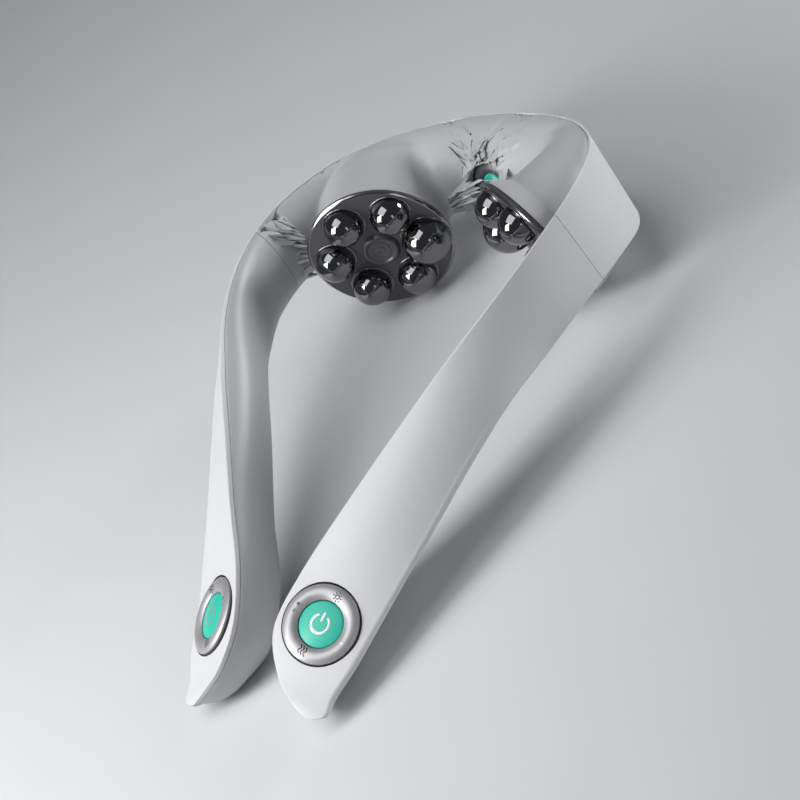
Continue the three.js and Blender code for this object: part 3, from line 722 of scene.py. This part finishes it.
# Each step moves the points towards where the blended distance to slab and nearer flare is nought.
for step in range(FIT_STEPS):
    if step < RELAXED_STEPS:
        points = relaxed(points)
    (a, na), (b, nb), (c, nc) = [distance_to(tree, points, sign) for tree, sign in trees]
    right_nearer = b < c
    h = np.where(right_nearer, b, c)
    nh = np.where(right_nearer[:, None], nb, nc)
    depth = face_depth(points, band_sections)
    blend = RIM_BLEND + (BLEND - RIM_BLEND) * np.clip((depth - BLEND_START) / BLEND_RISE, 0, 1)
    mix = np.clip(0.5 + 0.5 * (h - a) / blend, 0, 1)
    f = h * (1 - mix) + a * mix - blend * mix * (1 - mix)
    n = nh * (1 - mix)[:, None] + na * mix[:, None]
    n /= np.maximum(np.linalg.norm(n, axis=1, keepdims=True), 1e-6)
    points -= n * np.clip(f, -LONGEST_MOVE, LONGEST_MOVE)[:, None]
for v, place in zip(union.data.vertices, to_row(points)):
    v.co = place


def solid_of(name, vertices, faces):
    """A flat-shaded solid to cut with, from millimetres in the band's own pose."""
    return new_object(name, to_row(vertices), faces, None, INNER, smooth=False)


# Past a seam: how far the block runs, how far it stands past the rims, and its depths ahead and behind.
BLOCK_RUN = 22
BLOCK_MARGIN = 15
BLOCK_AHEAD = -8
BLOCK_BEHIND = 13


def seam_block(sign):
    """The space beyond a seam, as a block across the band."""
    sec = Section(sign * seam_end)
    low, high = -BLOCK_MARGIN, sec.width + BLOCK_MARGIN
    corners = ((low, BLOCK_AHEAD), (high, BLOCK_AHEAD), (high, BLOCK_BEHIND), (low, BLOCK_BEHIND))
    vertices = []
    for run in (0, BLOCK_RUN):
        for s, d in corners:
            vertices.append(sec.origin + sec.across * s + sec.inward * d + sec.facing * sign * run)
    return solid_of("seam_cutter", vertices, loft_faces(2, 4))


HOLLOW_FRONT = WALL + 3.2
BADGE_SEAT = BADGE_RADIUS + 0.3

cutters = [seam_block(1), seam_block(-1)]
front_rings = [front_ring(u) for u in stations_between(-FRONT_END, FRONT_END, 0.06)]
hollow_rings = [body_ring(u, WALL) for u in stations_between(-HOLLOW_END, HOLLOW_END, 0.1)]
for rings in (front_rings, hollow_rings):
    cutters.append(solid_of("cutter", *closed_loft(rings)))
hollow, hollow_faces = closed_loft(housing_rings(HOLLOW_FRONT, WALL))
cutters.append(solid_of("cutter", hollow, hollow_faces))
cutters.append(solid_of("cutter", hollow * np.array([-1, 1, 1]), hollow_faces))
seat = [(0, -3), (BADGE_SEAT, -3), (BADGE_SEAT, 8), (0, 8)]
cutters.append(turned("cutter", seat, BADGE, None, INNER, segments=128))
difference(union, cutters)
finish_object(union, "frame", INNER, angle=45)
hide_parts("back_inner_shell")


def bush_ring(depth):
    """The edge of the hole for the bush, at a depth behind the housing's front."""
    return np.stack([BUSH_HOLE * np.cos(ROUND), BUSH_HOLE * np.sin(ROUND), np.full_like(ROUND, -depth)], 1)


# The housing's front wall and collar: depth and inset of its sections, over its soft edge and back inside.
FRONT_FACE = 0.1
FRONT_INSIDE = 2.2
COLLAR_OUTSIDE = [
    (FRONT_FACE, 0.7), (0.3, 0.2), (0.8, 0.05), (2.0, 0), (4.0, 0), (6.5, 0), (COLLAR_DEPTH, 0.05)]
COLLAR_INSIDE = [(COLLAR_DEPTH, WALL), (5.0, WALL), (FRONT_INSIDE, WALL)]

for side in ("right", "left"):
    sections = [housing_ring(*place) for place in COLLAR_OUTSIDE + COLLAR_INSIDE]
    rings = [bush_ring(FRONT_FACE), *sections, bush_ring(FRONT_INSIDE)]
    vertices = [place_local(ring, HEAD, side == "left") for ring in rings]
    size = len(ROUND)
    faces = loft_faces(len(rings), size, caps=False)
    last = (len(rings) - 1) * size
    faces += [(last + i, last + (i + 1) % size, (i + 1) % size, i) for i in range(size)]
    new_object(f"{side}_housing_front", np.vstack(vertices), faces, "frame", INNER)

# ---------------------------------------------------------------- massage heads


def arc(cx, cz, radius, start, end, count):
    """Points on a circle's arc, its angles in radians."""
    return [(cx + radius * math.cos(a), cz + radius * math.sin(a)) for a in np.linspace(start, end, count)]


def dome_seats(side):
    """Number, place on the disk and radius of each dome of a head."""
    for i in range(6):
        a = math.radians(DOME_PHASE[side] + 60 * i)
        yield i + 1, DOME_RING * math.cos(a), DOME_RING * math.sin(a), LARGE_DOME if i == 0 else SMALL_DOME


def shifted(matrix, x, y, z):
    """The same frame, its origin moved along its own axes."""
    m = matrix.copy()
    m[:3, 3] = matrix[:3, :3] @ np.array([x, y, z]) + matrix[:3, 3]
    return m


def disk_profile():
    """The disk's section: small roundings at the back, a bevel in front, a hole for the hub's shank."""
    rim, back, front, bore = PLATE_RADIUS, PLATE_BACK, PLATE_FRONT, 5.4
    return [
        (bore, back), (rim - 0.9, back), (rim - 0.25, back + 0.2), (rim, back + 0.8),
        (rim, front - 1.4), (rim - 0.15, front - 1.2), (rim - 1.0, front - 0.25), (rim - 1.3, front - 0.15),
        (bore, front - 0.15), (bore, back)]


def bevel_profile():
    """A polished band laid over the disk's bevel."""
    rim, front = PLATE_RADIUS, PLATE_FRONT
    return [
        (rim - 0.1, front - 1.3), (rim + 0.02, front - 1.2), (rim - 0.95, front - 0.15),
        (rim - 1.2, front - 0.02), (rim - 1.45, front - 0.05), (rim - 1.55, front - 0.4),
        (rim - 0.1, front - 1.3)]


def seat_profile(radius):
    """A polished collar round a dome."""
    return [
        (radius - 0.6, -0.3), (radius + 0.85, -0.3), (radius + 0.8, -0.05), (radius + 0.6, 0.12),
        (radius + 0.35, 0.16), (radius + 0.15, 0.05), (radius + 0.1, -0.1), (radius - 0.6, -0.1),
        (radius - 0.6, -0.3)]


def dome_profile(radius):
    """Half a ball on a short straight foot."""
    top = DOME_BASE + 0.3
    cap = arc(0, top, radius, 0.0, math.pi / 2, 30)[:-1]
    return [(0, 0.05), (radius - 0.3, 0.05), (radius - 0.02, 0.4), *cap, (0, top + radius)]


def hub_profile():
    """A rounded ring round a sunken floor."""
    z = PLATE_FRONT
    return [
        (0, z), (10.4, z), (10.35, z + 0.25), (9.8, z + 0.9), (9.3, z + 1.9), (8.9, z + 2.25), (8.2, z + 2.3),
        (7.7, z + 2.05), (7.3, z + 1.2), (6.9, z + 1.05), (0, z + 1.05)]


def hub_line_profile(inner, outer):
    """A fine raised ring on the hub's floor."""
    z = PLATE_FRONT
    return [
        (inner, z + 0.95), (outer, z + 0.95), (outer, z + 1.25), (outer - 0.12, z + 1.35),
        (inner + 0.12, z + 1.35), (inner, z + 1.25), (inner, z + 0.95)]


for side in ("right", "left"):
    left = side == "left"
    body = f"{side}_head"
    plate = turned(f"{side}_plate_disk", disk_profile(), HEAD, body, GUNMETAL, "gunmetal", segments=192,
                   mirror=left, angle=30)
    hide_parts(f"{side}_head_plate")
    turned(f"{side}_plate_bevel", bevel_profile(), HEAD, body, GUNMETAL_EDGE, "gunmetal", segments=192,
           mirror=left, angle=50)
    for i, x, y, radius in dome_seats(side):
        seat = shifted(HEAD, x, y, PLATE_FRONT)
        turned(f"{side}_dome_collar_{i}", seat_profile(radius), seat, body, GUNMETAL_EDGE, "gunmetal",
               mirror=left, angle=45)
        ball = turned(f"{side}_dome_{i}", dome_profile(radius), seat, body, CHROME_PAINTED_DARK, "chrome",
                      mirror=left, angle=60)
        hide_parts(f"{side}_massage_dome_{i}")
    hub = turned(f"{side}_hub", hub_profile(), HEAD, body, GUNMETAL, "gunmetal", mirror=left, angle=50)
    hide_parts(f"{side}_hub_cap")
    for k, (inner, outer) in enumerate(((4.6, 5.3), (1.6, 2.3))):
        turned(f"{side}_hub_line_{k + 1}", hub_line_profile(inner, outer), HEAD, body, GUNMETAL, "gunmetal",
               segments=64, mirror=left, angle=30)

# ---------------------------------------------------------------- dials


# The ring's crown: radius of its crest, half its width, height of the crest and its fall to the edges.
RING_CREST = 15.6
RING_HALF = 3.9
RING_HEIGHT = 2.0
RING_FALL = 1.5
BUTTON_HEIGHT = 1.45
BUTTON_FALL = 1.35


def ring_height(radius):
    """Height of the rocker ring's crowned top at a radius."""
    t = (radius - RING_CREST) / RING_HALF
    return RING_HEIGHT - RING_FALL * t * t


def button_height(radius):
    """Height of the button's domed top at a radius."""
    return BUTTON_HEIGHT - BUTTON_FALL * (radius / BUTTON_RADIUS) ** 2


def stroke(name, paths, width, height_at, matrix, body, material_used, mirror, proud=0.07):
    """Thin raised lines that follow a crowned top: each path is a list of points in the top's plane."""
    vertices = []
    faces = []
    section = [(-1, -0.1), (-1, proud * 0.5), (-0.7, proud), (0.7, proud), (1, proud * 0.5), (1, -0.1)]
    for path in paths:
        p = resample(path, max(4, int(len(path) * 3)))
        t = np.gradient(p, axis=0)
        t /= np.maximum(np.linalg.norm(t, axis=1, keepdims=True), 1e-9)
        n = np.stack([-t[:, 1], t[:, 0]], 1) * width / 2
        taper = np.ones(len(p))
        taper[0] = taper[-1] = 0.55
        p[0] -= t[0] * width * 0.3
        p[-1] += t[-1] * width * 0.3
        base = len(vertices)
        for middle, sideways, narrowing in zip(p, n, taper):
            for edge, lift in section:
                x, y = middle + sideways * (edge * narrowing)
                vertices.append((x, y, height_at(math.hypot(x, y)) + lift))
        faces += [tuple(i + base for i in f) for f in loft_faces(len(p), 6)]
    points = place_local(np.array(vertices), matrix, mirror)
    new_object(name, points, faces, body, material_used, angle=50)


def circle_path(cx, cy, radius, start=0.0, end=360.0, count=24):
    """Points on a circle's arc, its angles in degrees."""
    return [(cx + radius * math.cos(math.radians(a)), cy + radius * math.sin(math.radians(a)))
            for a in np.linspace(start, end, count)]


ICON_RADIUS = 14.9


def icon_paths(angle, shapes):
    """Moves small drawings, made upright about (0, 0), to an angle on the ring, their tops outward."""
    cx, cy = ICON_RADIUS * math.cos(math.radians(angle)), ICON_RADIUS * math.sin(math.radians(angle))
    turn = math.radians(angle - 90)
    c, s = math.cos(turn), math.sin(turn)
    return [[(cx + x * c - y * s, cy + x * s + y * c) for x, y in shape] for shape in shapes]


sun = [circle_path(0, 0, 1.0, count=14)]
for k in range(8):
    a = math.pi / 4 * k
    sun.append([(r * math.cos(a), r * math.sin(a)) for r in (1.65, 2.5)])
plus_minus = [[(-2.6, 0), (-1.0, 0)], [(1.0, 0), (2.8, 0)], [(1.9, -0.9), (1.9, 0.9)]]
waves = []
for k in (-1.6, 0, 1.6):
    waves.append([(k + 0.45 * math.sin(2.2 * y), y) for y in np.linspace(-2.3, 2.3, 14)])
tick = [[(0, -1.0), (0, 1.0)]]

for side in ("right", "left"):
    left = side == "left"
    edge = DIAL_RADIUS
    seal = turned(f"{side}_dial_seal", [
        (edge + 0.12, -5), (edge + 0.8, -5), (edge + 0.8, -0.25), (edge + 0.55, -0.1),
        (edge + 0.3, -0.25), (edge + 0.12, -0.8), (edge + 0.12, -5)],
        DIAL, "frame", SEAL, "black_rubber", segments=144, mirror=left)
    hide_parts(f"{side}_dial_gasket")
    inner, outer = BUTTON_RADIUS + 0.35, DIAL_RADIUS - 0.02
    crown = [(r, ring_height(r)) for r in np.linspace(outer - 0.25, inner + 0.25, 36)]
    ring = turned(f"{side}_rocker_ring", [
        (inner, -2.4), (outer, -2.4), (outer, crown[0][1] - 0.35), (outer - 0.08, crown[0][1] - 0.12), *crown,
        (inner + 0.08, crown[-1][1] - 0.12), (inner, crown[-1][1] - 0.35), (inner, -2.4)],
        DIAL, f"{side}_ring", RING, "satin_metal", segments=144, mirror=left, angle=50)
    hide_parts(f"{side}_dial_ring")
    cap = [(r, button_height(r)) for r in np.linspace(BUTTON_RADIUS - 0.3, 0, 20)]
    button = turned(f"{side}_button_cap", [
        (0, -3.2), (BUTTON_RADIUS - 0.6, -3.2), (BUTTON_RADIUS, -2.6), (BUTTON_RADIUS, -0.35),
        (BUTTON_RADIUS - 0.08, -0.05), *cap],
        DIAL, f"{side}_button", TEAL, "teal", segments=128, mirror=left, angle=50)
    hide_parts(f"{side}_centre_button")
    power = [circle_path(0, 0, 4.6, 125, 415, 40), [(0, 1.4), (0, 5.6)]]
    stroke(f"{side}_power_mark", power, 1.15, button_height, DIAL, f"{side}_button", SILVER,
           left)
    for label, angle, shapes in (("sun", 81, sun), ("level", 171, plus_minus), ("heat", 263, waves)):
        stroke(f"{side}_mark_{label}", icon_paths(angle, shapes), 0.5, ring_height, DIAL, f"{side}_ring", INK,
               left)
    stroke(f"{side}_mark_tick", icon_paths(345, tick), 0.4, ring_height, DIAL, f"{side}_ring", SILVER,
           left)

# ---------------------------------------------------------------- badge

bezel = turned("badge_ring", [
    (6.3, -2), (BADGE_RADIUS, -2), (BADGE_RADIUS, 0.3), (12.3, 0.55), (11.4, 1.25), (9.2, 1.85),
    (7.6, 1.9), (7.0, 1.75), (6.5, 1.3), (6.3, 0.8), (6.3, -2)],
    BADGE, "frame", GUNMETAL, "gunmetal", segments=96, angle=40)
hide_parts("badge_bezel")
lens = turned("badge_window", [
    (0, -2), (6.0, -2), (6.0, 0.8), (5.8, 1.1), (5.0, 1.45), (3.0, 1.8), (1.5, 1.92), (0, 1.95)],
    BADGE, "frame", TEAL, "teal", segments=72, angle=40)
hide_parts("badge_lens")


def lens_height(radius):
    """Height of the badge lens's domed top at a radius."""
    return 1.95 - 0.5 * (radius / 5) ** 2


badge_circle = [circle_path(0, 0, 2.6, count=30)]
stroke("badge_mark", badge_circle, 0.6, lens_height, BADGE, "frame", INK, False)

# ---------------------------------------------------------------- carried-over CAD pieces

FINISH = {
    "head_gear": NYLON, "idler_gear": NYLON,
    "head_spindle": STEEL, "idler_axle": STEEL, "motor_pinion": STEEL, "drive_motor": STEEL,
    "switch_board": BOARD, "battery_cell": WRAP,
    "spindle_bush": BLACK, "gear_plate": BLACK, "ring_carrier": BLACK, "arm_spigot": BLACK,
}
for side in ("right", "left"):
    for name, finish in FINISH.items():
        node = nodes[f"{side}_{name}"]
        node.data.materials.clear()
        node.data.materials.append(finish)
for name, finish in (("main_board", BOARD), ("badge_light_board", BOARD), ("right_charge_port", STEEL)):
    nodes[name].data.materials.clear()
    nodes[name].data.materials.append(finish)

# ---------------------------------------------------------------- floor, light and camera

floor_material = material("pale_floor", (0.66, 0.665, 0.68), 0.6, mottle=0.01)
bpy.ops.mesh.primitive_plane_add(size=6, location=(0, 0, -0.0003))
floor = bpy.context.object
floor.name = "floor"
floor.data.materials.append(floor_material)


def area_light(name, place, target, size, power, size_y=None):
    """A rectangular panel that faces its target."""
    data = bpy.data.lights.new(name, "AREA")
    data.energy = power
    data.shape = "RECTANGLE"
    data.size = size
    data.size_y = size_y or size
    light = bpy.data.objects.new(name, data)
    bpy.context.scene.collection.objects.link(light)
    light.location = place
    light.rotation_euler = (Vector(target) - Vector(place)).to_track_quat("-Z", "Y").to_euler()


# A window of narrow strips in front, a soft panel above, a panel behind the right corner, a faint side fill.
for k in range(4):
    area_light(f"window_{k + 1}", (-0.58 + 0.13 * k, -0.66 + 0.04 * k, 0.5), (0, -0.1, 0.03), 0.08, 1.4, 0.5)
area_light("above", (-0.1, -0.3, 1.2), (0, -0.08, 0), 0.9, 6.2)
area_light("corner", (0.75, 1.3, 0.2), (0.08, 0.1, 0.05), 0.4, 13)
area_light("side", (1.2, -0.5, 0.45), (0, 0, 0.03), 0.25, 0.5, 0.5)

world = bpy.data.worlds.new("studio")
world.use_nodes = True
world.node_tree.nodes["Background"].inputs["Color"].default_value = (0.75, 0.77, 0.8, 1)
world.node_tree.nodes["Background"].inputs["Strength"].default_value = 0.13
bpy.context.scene.world = world

# The camera's right-hand and backward directions and its place, in the band's own pose.
CAMERA_RIGHT = np.array([0.722, 0.4065, -0.5599])
CAMERA_BACK = np.array([0.6919, -0.4222, 0.5857])
CAMERA_PLACE = np.array([972.61, -686.93, 813.36])

camera_data = bpy.data.cameras.new("camera")
camera_data.lens = 126
camera_data.sensor_width = 36
camera = bpy.data.objects.new("camera", camera_data)
bpy.context.scene.collection.objects.link(camera)
camera_up = np.cross(CAMERA_BACK, CAMERA_RIGHT)
tilt = Matrix.Rotation(REST_TILT, 3, "X")
columns = [tilt @ Vector(unit(v)) for v in (CAMERA_RIGHT, camera_up, CAMERA_BACK)]
pose = Matrix(columns).transposed().to_4x4()
pose.translation = Vector(to_row(CAMERA_PLACE))
camera.matrix_world = pose
bpy.context.scene.camera = camera
bpy.context.scene.view_settings.view_transform = "Standard"
